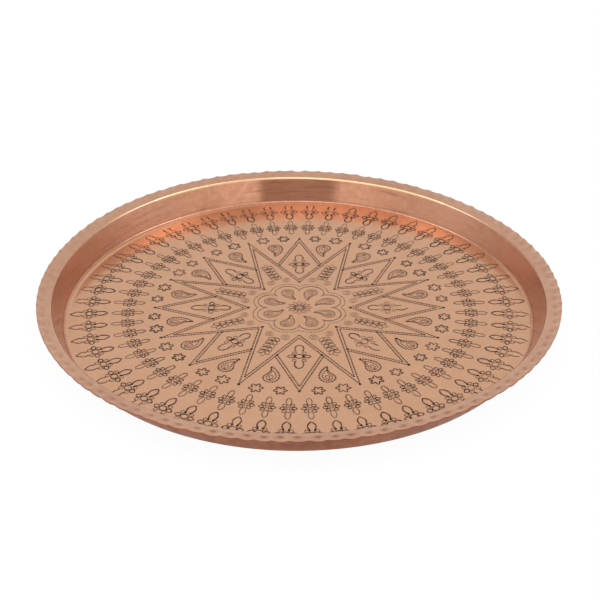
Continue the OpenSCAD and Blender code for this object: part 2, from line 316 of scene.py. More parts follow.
# %% Put the pan in the frame
sharp_edge = math.radians(40)
pan_mesh = bpy.data.meshes.new("hammered_pan")
pan_mesh.from_pydata(points.tolist(), [], faces)
pan_mesh.polygons.foreach_set("material_index", finishes)
pan_mesh.set_sharp_from_angle(angle=sharp_edge)
pan_mesh.polygons.foreach_set("use_smooth", [True] * (len(faces) - 2) + [False] * 2)
crease_layer = pan_mesh.attributes.new("crease", "FLOAT", "POINT")
crease_layer.data.foreach_set("value", np.concatenate([crease_grid.ravel(), np.zeros(2 * floor_steps)]))
pan = bpy.data.objects.new("hammered_pan", pan_mesh)
bpy.context.scene.collection.objects.link(pan)
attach(pan, "root")
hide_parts("tray_pan")
print(f"{pan.name}: {len(points)} points, {len(faces)} faces")

# %% [markdown]
# ## Helpers for materials
#
# A colour is picked as an sRGB hex value, as a paint chart gives it, and Blender's sockets want linear
# light, so one function converts. A second one adds a node: its options go in as names, and each input
# takes a value or another node's output. Inputs are named as Blender names them, apart from a Mix node's
# colours: their names repeat, so they have numbers.

# %% Colour and node helpers
MIX_A, MIX_B, MIX_RESULT = 6, 7, 2


def hex_colour(code):
    """Linear RGBA from an sRGB hex value."""
    parts = [int(code[i:i + 2], 16) / 255 for i in (1, 3, 5)]
    return (*(p / 12.92 if p <= 0.04045 else ((p + 0.055) / 1.055) ** 2.4 for p in parts), 1)


def add_node(tree, kind, inputs=None, **options):
    """Adds a node of this kind with its options, and sets or links its inputs."""
    node = tree.nodes.new(kind)
    for name, value in options.items():
        setattr(node, name, value)
    for socket, value in (inputs or {}).items():
        if isinstance(value, bpy.types.NodeSocket):
            tree.links.new(value, node.inputs[socket])
        else:
            node.inputs[socket].default_value = value
    return node


def new_material(name):
    """A material with an empty node tree."""
    material = bpy.data.materials.new(name)
    material.use_nodes = True
    material.node_tree.nodes.clear()
    return material, material.node_tree


def per_mm(size):
    """The scale at which a texture in metres repeats about once in this many millimetres."""
    return 1 / (size * MM)


print("mid grey in linear light:", round(hex_colour("#808080")[0], 3))

# %% [markdown]
# ## Copper finishes
#
# Bare copper is a warm metal with a soft satin gloss. The same sheet shows five surfaces: the floor was
# polished flat before the line work went on, and cleaning left a haze of hairlines on it; the wall keeps
# the fine rings of the spinning tool, with painted shade in the bend at its foot; the lip is rubbed bright,
# and its lighter colour on the far side is also a painted highlight; the flange is duller from hammering,
# with tarnish and painted shade in the creases; and the underside was only wiped clean, and its darker
# colour, most seen on the outside of the wall below the flange, is partly painted shade. Five separate
# materials would repeat themselves, so one function lays the shared layers and its arguments say how much
# of each a surface has.
# The spin lines follow the turned profile, so they are looked up by direction round the axis and by
# distance along the profile.

# %% Round the axis and along the profile
spin_mm = 0.55
spin_run = 3.0


def turned_place(tree, place):
    """Two vectors to look a pattern up by: one goes round the axis, the other along the turned profile."""
    flat = add_node(tree, "ShaderNodeVectorMath", {0: place, 1: (1, 1, 0)}, operation="MULTIPLY").outputs[0]
    radius = add_node(tree, "ShaderNodeVectorMath", {0: flat}, operation="LENGTH").outputs["Value"]
    height = add_node(tree, "ShaderNodeSeparateXYZ", {0: place}).outputs["Z"]
    along = add_node(tree, "ShaderNodeMath", {0: radius, 1: height}, operation="ADD").outputs[0]
    fine = add_node(tree, "ShaderNodeMath", {0: along, 1: per_mm(spin_mm)}, operation="MULTIPLY").outputs[0]
    rise = add_node(tree, "ShaderNodeCombineXYZ", {"Z": fine}).outputs[0]
    around = add_node(tree, "ShaderNodeVectorMath", {0: flat}, operation="NORMALIZE").outputs[0]
    run = add_node(tree, "ShaderNodeVectorMath", {0: around, "Scale": spin_run}, operation="SCALE").outputs[0]
    return run, rise


print(f"spin lines about {spin_mm} mm apart")

# %% Colour of the copper
# Brown of tarnish for the smears, and of painted shade in the creases and the wall's foot
copper_tarnish_and_shade = "#7E5443"
dulled_from, dulled_to = 0.14, 0.36
smear_scale = 1.3
smear_spread = 0.16
smear_from, smear_to = 0.55, 0.74


def copper_colour(tree, bright, dull, patch, run, rise, smudge, crease):
    """Bright copper, duller in patches, darker where smears keep tarnish, and darker in creases and bends, as
    tarnish and painted shade.
    """
    dulled = add_node(tree, "ShaderNodeMapRange", {
        "Value": patch, "From Min": dulled_from, "From Max": dulled_to}).outputs[0]
    colour = add_node(tree, "ShaderNodeMix", {0: dulled, MIX_A: hex_colour(bright), MIX_B: hex_colour(dull)},
                      data_type="RGBA").outputs[MIX_RESULT]
    tarnish_and_shade = hex_colour(copper_tarnish_and_shade)
    if smudge:
        # Long smears that wiping round the wall leaves, many times longer than they are high
        smear_rise = add_node(tree, "ShaderNodeVectorMath", {0: rise, "Scale": smear_spread},
                              operation="SCALE").outputs[0]
        smear_at = add_node(tree, "ShaderNodeVectorMath", {0: run, 1: smear_rise}, operation="ADD").outputs[0]
        smear = add_node(tree, "ShaderNodeTexNoise", {
            "Vector": smear_at, "Scale": smear_scale, "Detail": 5.0, "Roughness": 0.65}).outputs["Fac"]
        smeared = add_node(tree, "ShaderNodeMapRange", {
            "Value": smear, "From Min": smear_from, "From Max": smear_to, "To Max": smudge}).outputs[0]
        colour = add_node(tree, "ShaderNodeMix", {0: smeared, MIX_A: colour, MIX_B: tarnish_and_shade},
                          data_type="RGBA").outputs[MIX_RESULT]
    if crease:
        # Creases and the wall's foot darkened: partly tarnish, partly painted shade
        bitten = add_node(tree, "ShaderNodeAttribute", attribute_name="crease").outputs["Fac"]
        stained_and_shaded = add_node(tree, "ShaderNodeMath", {0: bitten, 1: crease}, operation="MULTIPLY").outputs[0]
        colour = add_node(tree, "ShaderNodeMix", {0: stained_and_shaded, MIX_A: colour, MIX_B: tarnish_and_shade},
                          data_type="RGBA").outputs[MIX_RESULT]
    return colour


print("tarnish in linear light:", [round(c, 3) for c in hex_colour(copper_tarnish_and_shade)[:3]])

# %% Copper
cloud_mm = 45
mottle_mm = 5
# Real polishing grain is finer; it is drawn as coarse as it needs to show
grain_mm = 0.35
relief_mm = 0.02
# Roughness at the smoothest and the roughest of the mottle, as shares of the gloss
smoothest, roughest = 0.85, 1.2
haze_gloss = 0.55
quarter_turn = 0.25


def copper(name, bright, dull, gloss, spin, grain, crease=0.0, smudge=0.0, brushed=0.0, haze=0.0):
    """Satin copper of two shades. gloss is its roughness, brushed stretches its highlights, and the others
    are the shares of spin lines, grain, creases darkened by tarnish and painted shade, smears and haze."""
    material, tree = new_material(name)
    place = add_node(tree, "ShaderNodeTexCoord").outputs["Object"]
    # Slow clouds and a finer mottle, as polish and handling leave them
    cloud = add_node(tree, "ShaderNodeTexNoise", {
        "Vector": place, "Scale": per_mm(cloud_mm), "Detail": 3.0})
    mottle = add_node(tree, "ShaderNodeTexNoise", {
        "Vector": place, "Scale": per_mm(mottle_mm), "Detail": 4.0})
    patch = add_node(tree, "ShaderNodeMath", {0: cloud.outputs["Fac"], 1: mottle.outputs["Fac"]},
                     operation="MULTIPLY").outputs[0]
    # Spin lines: long round the axis, fine along the profile
    run, rise = turned_place(tree, place)
    lines_at = add_node(tree, "ShaderNodeVectorMath", {0: run, 1: rise}, operation="ADD").outputs[0]
    lines = add_node(tree, "ShaderNodeTexNoise", {"Vector": lines_at, "Scale": 1.0, "Detail": 2.0})
    colour = copper_colour(tree, bright, dull, patch, run, rise, smudge, crease)
    # Gloss: it changes a little with the mottle
    shine = add_node(tree, "ShaderNodeMapRange", {
        "Value": mottle.outputs["Fac"], "From Min": 0.3, "From Max": 0.7,
        "To Min": gloss * smoothest, "To Max": gloss * roughest}).outputs[0]
    # Relief: polishing grain, then the spin lines
    speck = add_node(tree, "ShaderNodeTexNoise", {"Vector": place, "Scale": per_mm(grain_mm), "Detail": 2.0})
    grained = add_node(tree, "ShaderNodeBump", {
        "Height": speck.outputs["Fac"], "Strength": grain, "Distance": relief_mm * MM}).outputs[0]
    relief = add_node(tree, "ShaderNodeBump", {
        "Height": lines.outputs["Fac"], "Strength": spin, "Distance": relief_mm * MM,
        "Normal": grained}).outputs[0]
    surface = add_node(tree, "ShaderNodeBsdfPrincipled", {
        "Base Color": colour, "Metallic": 1.0, "Roughness": shine, "Normal": relief})
    if brushed:
        # The tangent runs round the axis, and a quarter turn stretches the highlights across the spin lines
        round_axis = add_node(tree, "ShaderNodeTangent", direction_type="RADIAL", axis="Z").outputs[0]
        tree.links.new(round_axis, surface.inputs["Tangent"])
        surface.inputs["Anisotropic"].default_value = brushed
        surface.inputs["Anisotropic Rotation"].default_value = quarter_turn
    result = surface.outputs[0]
    if haze:
        # Hairline scratches from cleaning spread a share of the light wider
        veil = add_node(tree, "ShaderNodeBsdfPrincipled", {
            "Base Color": colour, "Metallic": 1.0, "Roughness": haze_gloss}).outputs[0]
        result = add_node(tree, "ShaderNodeMixShader", {0: haze, 1: result, 2: veil}).outputs[0]
    add_node(tree, "ShaderNodeOutputMaterial", {"Surface": result})
    return material


print(f"patterns of copper from {grain_mm} to {cloud_mm} mm")

# %% Finishes of the pan
# In the order of FLOOR, WALL, LIP, FLANGE and UNDERSIDE
pan_finishes = [
    # Polished flat: a clear mirror under a light haze
    copper("copper_polished_floor", "#CB9E80", "#C59979", gloss=0.14, spin=0.02, grain=0.05, haze=0.4),
    # Spun on a lathe: reflections drawn out across the turning lines, long brown smears, and painted shade in
    # the bend at its foot
    copper("copper_spun_wall", "#D29B7E", "#C68E71", gloss=0.22, spin=0.03, grain=0.01, crease=0.6,
           smudge=0.6, brushed=0.95),
    # Rubbed by hands and cloths, with a lighter colour as a painted highlight: the brightest line on the tray
    copper("copper_rubbed_lip_painted_highlight", "#D8AB8A", "#D0A27E", gloss=0.17, spin=0.02, grain=0.01),
    # Hammered: light and shade from dent to dent, and brown tarnish with painted shade in the creases
    copper("copper_hammered_flange", "#C6997E", "#B98C73", gloss=0.19, spin=0.03, grain=0.08, crease=0.75),
    # Only wiped: dull and brown, and darker still as painted shade
    copper("copper_wiped_underside_painted_shade", "#9C6145", "#8B533B", gloss=0.36, spin=0.15, grain=0.2, smudge=0.4)]
for finish in pan_finishes:
    pan_mesh.materials.append(finish)
print("copper finishes:", ", ".join(m.name for m in pan_mesh.materials))

# %% [markdown]
# ## Strokes of the line work
#
# The line work is a thin black film, standing a tenth of a millimetre at most on the floor. Curve objects
# with a bevel would be rounded wires, so each stroke here is a flat closed ribbon, laid along a line of
# points. Like a hand's pressure, its width swells and thins a little, and open strokes thin towards their
# ends. A stroke is written as (points, width, tone, closed), where tone is 1 for full black and less where
# the film is worn.

# %% Lines to draw with
line_w = 0.78
fine_w = 0.54


def curve(controls, closed=False, steps=5):
    """A smooth line through the control points."""
    p = np.array(controls, float)
    if closed:
        before, after, beyond = np.roll(p, 1, 0), np.roll(p, -1, 0), np.roll(p, -2, 0)
    else:
        ends = np.concatenate([p[:1], p, p[-1:]])
        before, after, beyond = ends[:-3], ends[2:-1], ends[3:]
        p = p[:-1]
    t = np.linspace(0, 1, steps, endpoint=False)[None, :, None]
    a, b, c, d = (x[:, None, :] for x in (before, p, after, beyond))
    line = 0.5 * (2 * b + (c - a) * t + (2 * a - 5 * b + 4 * c - d) * t**2 + (3 * b - a - 3 * c + d) * t**3)
    line = line.reshape(-1, 2)
    return line if closed else np.concatenate([line, after[-1:]])


def ring(x, y, rx, ry=None, steps=20):
    """An oval line round (x, y)."""
    a = np.linspace(0, 2 * np.pi, steps, endpoint=False)
    return np.c_[x + rx * np.sin(a), y + (ry or rx) * np.cos(a)]


def leaf(start, stop, half_w, belly=1.0, steps=9):
    """A pointed loop on the Y axis, fullest nearer its stop when belly is above 1."""
    t = np.linspace(0, 1, steps)
    y, x = start + (stop - start) * t, half_w * np.sin(np.pi * t**belly)
    return np.concatenate([np.c_[x, y], np.c_[-x, y][-2:0:-1]])


def turned(line, degrees):
    """The line turned clockwise about the origin."""
    a = math.radians(degrees)
    return np.array(line) @ np.array([[math.cos(a), -math.sin(a)], [math.sin(a), math.cos(a)]])


def flipped(line):
    """The line's mirror image in the Y axis."""
    return np.array(line) * (-1, 1)


print("strokes are", line_w, "and", fine_w, "mm wide")

# %% Spots and punch marks
hand = random.Random(5)
# Ranges of a punch mark's length and blackness, as shares
mark_reach = (0.85, 1.15)
mark_black = (0.75, 1.05)
look_ahead = 0.2
tiny = 1e-9


def dot(x, y, r, tone=1.0):
    """A small round spot."""
    return (np.array([(x, y - r), (x, y - 0.5 * r), (x, y + 0.5 * r), (x, y + r)]),
            np.array([0.9, 1.9, 1.9, 0.9]) * r, tone, False)


def spaced(line, pitch, closed=False):
    """Places and directions along a line, a pitch apart."""
    line = np.concatenate([line, line[:1]]) if closed else np.array(line)
    far = np.concatenate([[0], np.cumsum(np.linalg.norm(np.diff(line, axis=0), axis=1))])
    count = max(2, round(far[-1] / pitch))
    at = (np.arange(count) + 0.5) * far[-1] / count
    place, beyond = (np.c_[np.interp(run, far, line[:, 0]), np.interp(run, far, line[:, 1])]
                     for run in (at, at + look_ahead))
    ahead = beyond - place
    return place, ahead / np.maximum(np.linalg.norm(ahead, axis=1, keepdims=True), tiny)


def ticks(line, pitch, length, width, tone, closed=False, across=False):
    """Short punch marks spaced along a line, lying along it or across it."""
    marks = []
    for place, ahead in zip(*spaced(line, pitch, closed)):
        lie = np.array([-ahead[1], ahead[0]]) if across else ahead
        reach = length / 2 * hand.uniform(*mark_reach)
        steps = np.array([-1, -0.6, 0.6, 1])[:, None]
        marks.append((place + steps * lie * reach, np.array([0.5, 1, 1, 0.5]) * width,
                      tone * hand.uniform(*mark_black), False))
    return marks


print("a spot is a stroke through", len(dot(0, 0, 1)[0]), "points")

# %% [markdown]
# ## From strokes to a band of line work
#
# A motif is drawn once about its own centre, with Y pointing away from the tray's middle, and is then
# carried to its place on the ring. No two came out alike on the real tray, so each copy is turned and
# shifted by a hair, and each stroke gets its own width and blackness. All strokes of one band become one
# mesh.

# %% Placing a motif
shift_mm = 0.12
tilt_deg = 1.2
# Ranges of a stroke's width and blackness, as shares
stroke_press = (0.88, 1.12)
stroke_black = (0.85, 1.05)


def carried(strokes, radius, turn, loose=1.0):
    """The strokes moved out by radius, then turned clockwise from the far side, a hair off true."""
    tilt, dx, dy = (loose * hand.uniform(-x, x) for x in (tilt_deg, shift_mm, shift_mm))
    moved = []
    for line, width, tone, closed in strokes:
        line = turned(line, tilt) + (dx, dy + radius)
        pressed, blackened = hand.uniform(*stroke_press), hand.uniform(*stroke_black)
        moved.append((turned(line, turn), width * pressed, tone * blackened, closed))
    return moved


print(f"motifs sit within {shift_mm} mm and {tilt_deg} degrees of true")

# %% Laying a band
press_swing = 0.14
end_thinning = 0.35


def ribbon(line, width, closed):
    """The two edges of a stroke whose width swells and thins."""
    ahead = np.roll(line, -1, 0) - np.roll(line, 1, 0) if closed else np.gradient(line, axis=0)
    ahead = ahead / np.maximum(np.linalg.norm(ahead, axis=1, keepdims=True), tiny)
    side = np.c_[-ahead[:, 1], ahead[:, 0]]
    t = np.linspace(0, 1, len(line), endpoint=not closed)
    press = 1 + press_swing * np.sin(2 * np.pi * (2 * t + hand.random()))
    if not closed:
        press = press * (1 - end_thinning * np.abs(2 * t - 1) ** 6)
    half = (np.array(width) / 2 * press)[:, None]
    return line + side * half, line - side * half


def lay_band(name, node, strokes):
    """Makes one mesh of all the strokes of a band and seats it where the CAD node is."""
    points, faces, tones = [], [], []
    for line, width, tone, closed in strokes:
        left, right = ribbon(np.array(line), width, closed)
        count, first = len(left), len(points)
        top, foot = floor_z + film_t, floor_z
        for (lx, ly), (rx, ry) in zip(left, right):
            points += [(lx, ly, top), (rx, ry, top), (rx, ry, foot), (lx, ly, foot)]
        tones += [tone] * (4 * count)
        for i in range(count if closed else count - 1):
            a, b = first + 4 * i, first + 4 * ((i + 1) % count)
            faces += [(a + k, a + (k + 1) % 4, b + (k + 1) % 4, b + k) for k in range(4)]
        if not closed:
            end = first + 4 * (count - 1)
            faces += [(first, first + 3, first + 2, first + 1), (end + 1, end + 2, end + 3, end)]
    mesh = bpy.data.meshes.new(name)
    mesh.from_pydata((np.array(points) * MM).tolist(), [], faces)
    mesh.attributes.new("tone", "FLOAT", "POINT").data.foreach_set("value", tones)
    band = bpy.data.objects.new(name, mesh)
    bpy.context.scene.collection.objects.link(band)
    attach(band, "root")
    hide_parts(node)
    reach = np.linalg.norm(np.array(points)[:, :2], axis=1)
    print(f"{name}: {len(strokes)} strokes, from {reach.min():.1f} to {reach.max():.1f} mm")
    return band


bands = []
print(f"the film lies from {floor_z:.2f} to {floor_z + film_t:.2f} mm")

# %% [markdown]
# ## Bud flowers
#
# A bud flower is an oval eye, a pointed leaf at each side, four thin scallops, a heavy shield-shaped bud
# towards the middle of the tray and an onion-shaped bud towards the wall. Each bud is two strokes, and
# those of the outer bud start with a hooked foot. Wear is part of the look: over stretches of the ring the
# outer buds have lost their tips or are only two ticks, some eyes are faint, and spots stay where worn
# strokes crossed. A mask texture could fade the film, but worn strokes end short, so each flower is drawn
# with what is left of it.

# %% One bud flower
film_tone, worn_tone = 0.95, 0.5
# An outer bud's stroke with no more than this share left is a tick, which starts at the second share
tick_share, tick_from = 0.75, 0.25
# Where spots stay on a worn flower
crossings = ((6.3, 0), (2.9, 1.3), (2.9, -1.3))


def kept_part(line, stop, start=0.0):
    """The part of a line between two shares of its points."""
    return line[round(start * len(line)):max(3, round(stop * len(line)))]


def bud_flower(bud_left, bud_right, eye_tone, is_worn):
    """Strokes of one bud flower; bud_left and bud_right are the shares left of the outer bud's strokes."""
    side_tone = worn_tone if is_worn else film_tone
    side_leaf = turned(leaf(2.5, 6.8, 1.6), 90)
    inner_bud = curve([(1.3, -3.1), (1.4, -4.2), (2.15, -5.8), (2.55, -7.7), (2.2, -9.6), (1.1, -11.3),
                       (0, -12.4)])
    outer_bud = curve([(3.4, 4.5), (2.5, 4.9), (2.1, 5.8), (2.75, 7.4), (2.35, 9.4), (1.1, 11.4), (0, 13.1)])
    strokes = [(ring(0, 0, 2.5, 2.2), line_w, eye_tone, True)]
    for mirror in (False, True):
        hold = flipped if mirror else np.array
        strokes.append((hold(side_leaf), line_w, side_tone, True))
        for y, tone in ((-3.4, 0.8), (3.3, 0.6)):
            strokes.append((hold(ring(3.1, y, 1.45, 1.25, 14)), fine_w, tone * side_tone, True))
        if is_worn:
            strokes += [dot(*hold([at])[0], 0.55) for at in crossings]
        strokes.append((hold(inner_bud), 1.2 * line_w, 1.0, False))
        strokes.append(dot(*hold([(1.75, -3.8)])[0], 0.65))
        share = bud_left if mirror else bud_right
        if share > tick_share:
            strokes.append((kept_part(hold(outer_bud), share), line_w, 0.9, False))
        else:
            strokes.append((kept_part(hold(outer_bud), share, tick_from), 1.25 * line_w, 1.0, False))
    return strokes


print("a whole bud flower has", len(bud_flower(1.0, 1.0, film_tone, False)), "strokes")

# %% Border of bud flowers
border_n = 56
border_r = 142.5
# Worn stretches of the ring, in degrees clockwise from the far side, on past 360
open_buds = (272, 375)
worn_buds = (312, 375)
faint_eyes = (93, 136)
faint_far_eyes = (290, 381)
faint_tone, far_faint_tone = 0.4, 0.2
# Shares of an outer bud's left and right strokes that are still there
open_left, open_right = 0.9, 0.8
worn_left, worn_right = 0.74, 0.7


def lies_in(turn, stretch):
    """True where a turn is within a stretch of the ring."""
    return any(stretch[0] < turn + lap < stretch[1] for lap in (0, 360))


strokes = []
for i in range(border_n):
    turn = (i + 0.5) * 360 / border_n
    is_open, is_worn = lies_in(turn, open_buds), lies_in(turn, worn_buds)
    bud_left, bud_right, eye_tone = 1.0, 1.0, film_tone
    if lies_in(turn, faint_eyes):
        bud_right, eye_tone = open_right, faint_tone
    if lies_in(turn, faint_far_eyes):
        eye_tone = far_faint_tone
    if is_open:
        bud_left, bud_right = open_left, open_right
    if is_worn:
        bud_left, bud_right = worn_left, worn_right
    strokes += carried(bud_flower(bud_left, bud_right, eye_tone, is_worn), border_r, turn)
bands.append(lay_band("border_bud_line_work", "border_bud_lines", strokes))

# %% [markdown]
# ## Ring of daisies
#
# Each daisy has a small eye, six petals and two long oval loops, the outer one fainter. Spots of black sit
# between the side petals, where the strokes crowd together.

# %% Daisies
daisy_n = 56
daisy_r = 116.6


def daisy():
    """Strokes of one daisy."""
    strokes = [(ring(0, 0, 1.15, steps=14), fine_w, 0.8, True),
               (ring(0, 7.2, 1.75, 3.6), fine_w, 0.82, True),
               (ring(0, -6.8, 1.7, 3.55), 1.1 * fine_w, 0.95, True)]
    for a in (42, 90, 138, 222, 270, 318):
        strokes.append((turned(ring(0, 3.7, 1.12, 1.55, 16), a), 1.1 * fine_w, 1.0, True))
    for a in (66, 114, 246, 294):
        strokes.append(dot(*turned([(0, 3.2)], a)[0], 0.45, 0.95))
    return strokes


strokes = []
for i in range(daisy_n):
    strokes += carried(daisy(), daisy_r, (i + 0.5) * 360 / daisy_n)
bands.append(lay_band("daisy_line_work", "daisy_ring_lines", strokes))

# %% [markdown]
# ## Small stars and botehs
#
# Between the big star's points sit six-tipped stars drawn in one rounded line, and botehs, the curled drop
# of many old textiles. A boteh's outline is a line with punch marks across it, with a second marked line
# and a loop inside. Outlines could be traced point by point, but a few points or a formula give smoother
# lines.

# %% Star and boteh motifs
boteh_outline = ((1.3, -8.3), (-0.4, -7.4), (-2.7, -5.2), (-4.6, -2.9), (-6.0, -0.2), (-6.6, 2.9),
                 (-6.0, 5.7), (-4.2, 7.9), (-1.5, 8.7), (1.2, 7.9), (2.9, 6.1), (3.4, 4.1), (2.9, 2.0),
                 (1.5, -0.6), (0.7, -3.1), (0.7, -6.0))
boteh_inner = ((0.1, -4.4), (-1.8, -3.0), (-3.4, -0.8), (-4.5, 2.2), (-4.2, 4.8), (-2.9, 6.4), (-1.3, 6.8),
               (0.4, 6.0), (1.4, 4.3), (1.1, 2.2), (0.1, -0.6), (-0.2, -2.6))
boteh_mark_pitch = 1.8


def rounded_star(tip, root):
    """A six-tipped star in one line with rounded tips."""
    a = np.linspace(0, 2 * np.pi, 48, endpoint=False)
    r = root + (tip - root) * (0.5 + 0.5 * np.cos(6 * a)) ** 0.8
    return np.c_[r * np.cos(a), r * np.sin(a)]


def punched_boteh(size, heavy):
    """Strokes of a curled drop: punched outline, inner line, loop and spot in the bulb, dark tail."""
    outline, inner = (curve(np.array(line) * size, True, 4) for line in (boteh_outline, boteh_inner))
    tail = np.array([(1.3, -8.2), (0.7, -6.6), (0.5, -4.8)]) * size
    return [(outline, 0.55 * line_w, 0.8 * heavy, True),
            *ticks(outline, boteh_mark_pitch, 1.4 * size, 0.8 * size, heavy, closed=True, across=True),
            (inner, 0.6 * fine_w, 0.7 * heavy, True),
            *ticks(inner, boteh_mark_pitch, 0.9 * size, 0.75 * size**2, heavy, closed=True),
            (tail, 0.9 * line_w, heavy, False),
            (ring(-1.5 * size, 3.2 * size, 1.3 * size, 2.0 * size, 14), fine_w, 0.85 * heavy, True),
            dot(-1.4 * size, 5.9 * size, 0.6, 0.9 * heavy)]


print("a boteh's outline runs through", len(boteh_outline), "points")

# %% Small stars and outer botehs
lobes = 8
sector = 360 / lobes
half_sector = sector / 2
star_tip_r = 98.7
# Turn from the sector's axis, tip radius and root radius of each small star
small_stars = ((6.8, 4.25, 2.1), (15.9, 4.75, 2.4))
boteh_r = 82.0
boteh_turn = 13.0
star_strokes, boteh_strokes = [], []
for i in range(lobes):
    for mirrored in (False, True):
        side = -1 if mirrored else 1
        for turn, tip, root in small_stars:
            at = turned([(0, star_tip_r)], side * turn)
            star = [(rounded_star(tip, root) + at - (0, star_tip_r), 1.08 * line_w, 1.0, True)]
            star_strokes += carried(star, star_tip_r, i * sector)
        drop = carried(punched_boteh(1.0, 0.95), boteh_r, boteh_turn)
        boteh_strokes += [(turned(flipped(line) if mirrored else line, i * sector), width, tone, closed)
                          for line, width, tone, closed in drop]
bands.append(lay_band("small_star_line_work", "small_star_lines", star_strokes))
bands.append(lay_band("outer_boteh_line_work", "outer_boteh_lines", boteh_strokes))

# %% [markdown]
# ## The big star and its kites
#
# An eight-pointed star is drawn twice, one line inside the other, and a kite stands on each of its hollows.
# Every line is a row of short punch marks on a thin scribed guide, with round punch marks at the corners. A
# dashed texture would not end on the corners, so the marks are spaced along each side by themselves.

# %% Punched lines
mark_pitch = 1.93
mark_len = 1.15
mark_w = 1.25 * line_w
guide_w = 0.3
guide_tone = 0.65


def polar(radius, turn):
    """A point at this radius, turned clockwise from the far side."""
    a = math.radians(turn)
    return np.array([radius * math.sin(a), radius * math.cos(a)])


def punched_line(start, stop, tone=0.95):
    """A straight row of punch marks on its guide line."""
    line = np.linspace(start, stop, 12)
    marks = ticks(line, mark_pitch, mark_len, mark_w, tone)
    return [(line, guide_w, guide_tone * tone, False), *marks]


print(f"punch marks {mark_len} mm long, {mark_pitch} mm apart")

# %% Big star and kites
star_root_r = 37.9
line_pitch = 1.9
kite_half_angle = 21.9
corner_r = 0.95
# The star's near hollow has no corner mark
unmarked_hollow = 4
# From a hollow of the star to the point beside it
side_x, side_y = polar(star_tip_r, half_sector) - polar(star_root_r, 0)
side_len = np.linalg.norm((side_x, side_y))
side_distance = star_root_r * star_tip_r * math.sin(math.radians(half_sector)) / side_len
inner_share = 1 - line_pitch / side_distance
star_strokes, kite_strokes = [], []
kite_tan = math.tan(math.radians(kite_half_angle))
kite_step = line_pitch / math.sin(math.radians(kite_half_angle))
for i in range(lobes):
    for side in (-1, 1):
        for share in (1, inner_share):
            root = polar(star_root_r * share, i * sector)
            tip = polar(star_tip_r * share, i * sector + side * half_sector)
            star_strokes += punched_line(root, tip)
        for tip_r in (star_tip_r, star_tip_r - kite_step):
            # A kite's side runs from its tip down to the star's side
            foot_x = (tip_r - star_root_r) / (side_y / side_x + 1 / kite_tan)
            foot = np.array([side * foot_x, tip_r - foot_x / kite_tan])
            kite_strokes += [(turned(line, i * sector), width, tone, closed)
                             for line, width, tone, closed in punched_line((0, tip_r), foot)]
        kite_strokes.append(dot(*turned([foot], i * sector)[0], 0.85 * corner_r))
    if i != unmarked_hollow:
        star_strokes.append(dot(*polar(star_root_r * inner_share, i * sector), corner_r))
    star_strokes.append(dot(*polar(star_tip_r, (i + 0.5) * sector), corner_r))
    kite_strokes.append(dot(*polar(star_tip_r, i * sector), corner_r))
bands.append(lay_band("big_star_line_work", "big_star_lines", star_strokes))
bands.append(lay_band("kite_line_work", "kite_lines", kite_strokes))

# %% [markdown]
# ## Flowers in the kites, sprigs and ringlets
#
# Each kite holds a larger bud flower, and two of these are worn. In the star's points grow sprigs of five
# pairs of overlapping leaves under a bud, and two faint double ringlets stand at each sprig's foot.

# %% Flower of a kite
def kite_flower(left_share, eye_tone):
    """Strokes of a kite's flower, whose two oval buds are open towards the eye."""
    eye_side = curve([(3.2, 2.3), (2.7, 0.8), (2.7, -0.8), (3.2, -2.3)])
    side_leaf = turned(leaf(3.0, 7.6, 1.6), 90)
    outer_bud = curve([(2.2, 6.1), (2.65, 7.4), (2.9, 9.0), (2.6, 11.1), (1.5, 12.9), (0, 13.9)])
    inner_bud = curve([(1.9, -5.9), (2.6, -7.2), (2.87, -8.8), (2.6, -10.7), (1.55, -12.3), (0, -13.1)])
    strokes = [(ring(0, 0, 2.3), 0.9 * line_w, eye_tone, True)]
    for mirror in (False, True):
        hold = flipped if mirror else np.array
        strokes.append((hold(side_leaf), line_w, 0.95 * eye_tone, True))
        strokes.append((hold(eye_side), 1.4 * line_w, eye_tone, False))
        for y in (-3.8, 4.5):
            strokes.append((hold(ring(3.2, y, 1.4, 1.3, 14)), fine_w, 0.85 * eye_tone, True))
        strokes.append((hold(inner_bud), 1.15 * line_w, 0.95, False))
        strokes.append((kept_part(hold(outer_bud), left_share if mirror else 1.0), 1.1 * line_w, 0.95, False))
    return strokes


print("a kite's flower has", len(kite_flower(1.0, 1.0)), "strokes")

# %% Sprig
leaf_pairs = 5
leaf_pitch = 4.13


def sprig():
    """Strokes of a leafy sprig growing out from the rosette, dark where the pairs of leaves overlap."""
    strokes = []
    for i in range(leaf_pairs):
        y = i * leaf_pitch
        blade = turned(leaf(0.4, 5.7, 1.5, 1.1), 42)
        fold = curve([(0, y + 0.2), (1.0, y - 0.2), (2.2, y - 1.0)])
        for hold in (np.array, flipped):
            strokes.append((hold(blade) + (0, y), 0.85 * fine_w, 0.95, True))
            if i:
                strokes.append((hold(fold), 0.6 * line_w, 0.85, False))
    strokes.append((leaf(0, 4.8, 1.5, 0.9) + (0, leaf_pairs * leaf_pitch - 1.8), 0.8 * fine_w, 0.55, True))
    return strokes


print("a sprig has", len(sprig()), "strokes")

